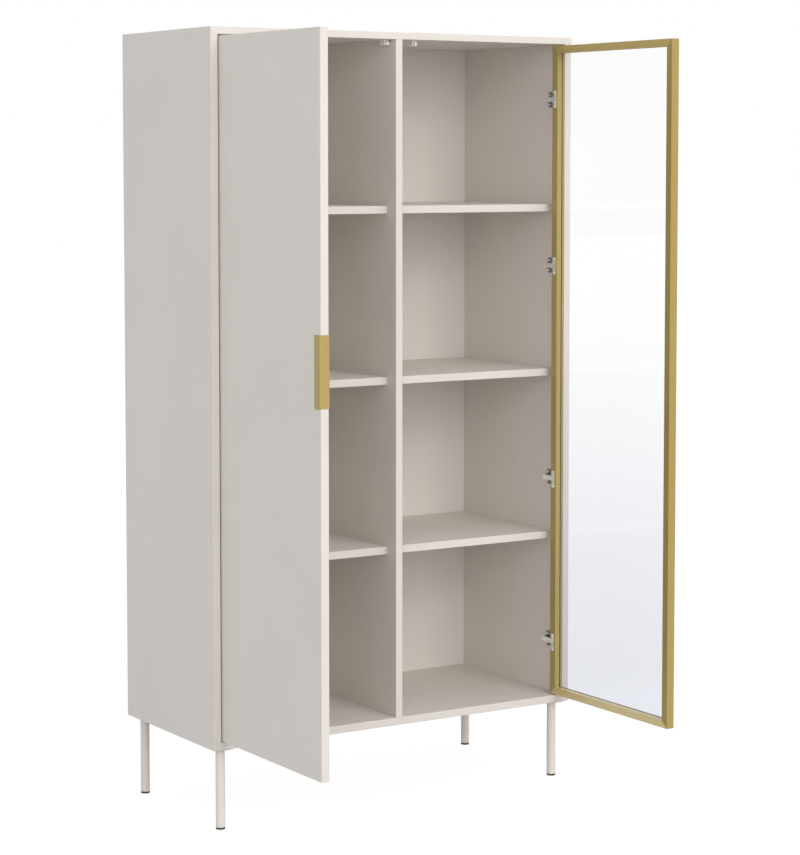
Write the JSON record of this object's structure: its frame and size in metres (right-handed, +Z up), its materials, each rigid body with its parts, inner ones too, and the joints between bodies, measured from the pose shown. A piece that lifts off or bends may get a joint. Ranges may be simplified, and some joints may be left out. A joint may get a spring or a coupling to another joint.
{
  "type": "display cabinet",
  "caption": "Tall greige board cabinet on slim round legs, shelved on both sides of a divider, with a solid swing door with an edge pull and a gold-framed glass swing door.",
  "frame": {"origin": "on the floor, at the middle of the cabinet's width, in the plane of the carcass's front edges", "axes": "+X to the right seen from the front, +Y to the back, +Z up"},
  "size_m": [0.871, 0.7784, 1.6],
  "materials": {
    "greige_board": "matt",
    "back_sheet": "matt",
    "nickel_steel": "satin",
    "bright_steel": "polished",
    "greige_metal": "matt",
    "black_plastic": "matt",
    "gold_metal": "satin",
    "dark_seal": "matt",
    "cleat_aluminium": "satin",
    "clear_glass": "clear",
    "pale_plastic": "matt"
  },
  "bodies": {
    "cabinet": {"left_side_panel": "greige_board", "right_side_panel": "greige_board", "top_panel": "greige_board", "bottom_panel": "greige_board", "centre_divider": "greige_board", "back_panel": "back_sheet", "left_shelf_lower": "greige_board", "left_shelf_middle": "greige_board", "left_shelf_upper": "greige_board", "right_shelf_lower": "greige_board", "right_shelf_middle": "greige_board", "right_shelf_upper": "greige_board", "leg_front_left": "greige_metal", "leg_front_right": "greige_metal", "leg_back_left": "greige_metal", "leg_back_right": "greige_metal", "leg_cap_front_left": "black_plastic", "leg_cap_front_right": "black_plastic", "leg_cap_back_left": "black_plastic", "leg_cap_back_right": "black_plastic", "left_hinge_plates": "nickel_steel", "left_hinge_arms": "nickel_steel", "right_hinge_plates": "nickel_steel", "right_hinge_arms": "nickel_steel", "left_latch_body": "pale_plastic", "right_latch_body": "pale_plastic"},
    "left_door": {"left_door_panel": "greige_board", "left_hinge_bosses": "nickel_steel", "left_hinge_pins": "bright_steel", "door_handle": "gold_metal", "left_latch_strike": "nickel_steel"},
    "right_door": {"frame_hinge_stile": "gold_metal", "frame_free_stile": "gold_metal", "frame_top_rail": "gold_metal", "frame_bottom_rail": "gold_metal", "frame_corner_cleats": "cleat_aluminium", "glass_pane": "clear_glass", "glass_seal": "dark_seal", "right_hinge_bosses": "nickel_steel", "right_hinge_pins": "bright_steel"},
    "left_plunger": {"left_latch_plunger": "pale_plastic"},
    "right_plunger": {"right_latch_plunger": "pale_plastic"}
  },
  "joints": [
    {"name": "left_door_hinge", "type": "hinge", "parent": "cabinet", "child": "left_door", "pos_m": [-0.4084, 0.0085, 0.883], "axis": [0, 0, -1], "range_deg": [-90, 5]},
    {"name": "right_door_hinge", "type": "hinge", "parent": "cabinet", "child": "right_door", "pos_m": [0.4084, 0.0085, 0.883], "axis": [0, 0, 1], "range_deg": [-90, 5]},
    {"name": "left_latch_push", "type": "slide", "parent": "cabinet", "child": "left_plunger", "axis": [0, 1, 0], "range_m": [0, 0.0036], "stiffness_N_per_m": 300, "springref_m": -0.002},
    {"name": "right_latch_push", "type": "slide", "parent": "cabinet", "child": "right_plunger", "axis": [0, 1, 0], "range_m": [0, 0.0036], "stiffness_N_per_m": 300, "springref_m": -0.002}
  ]
}
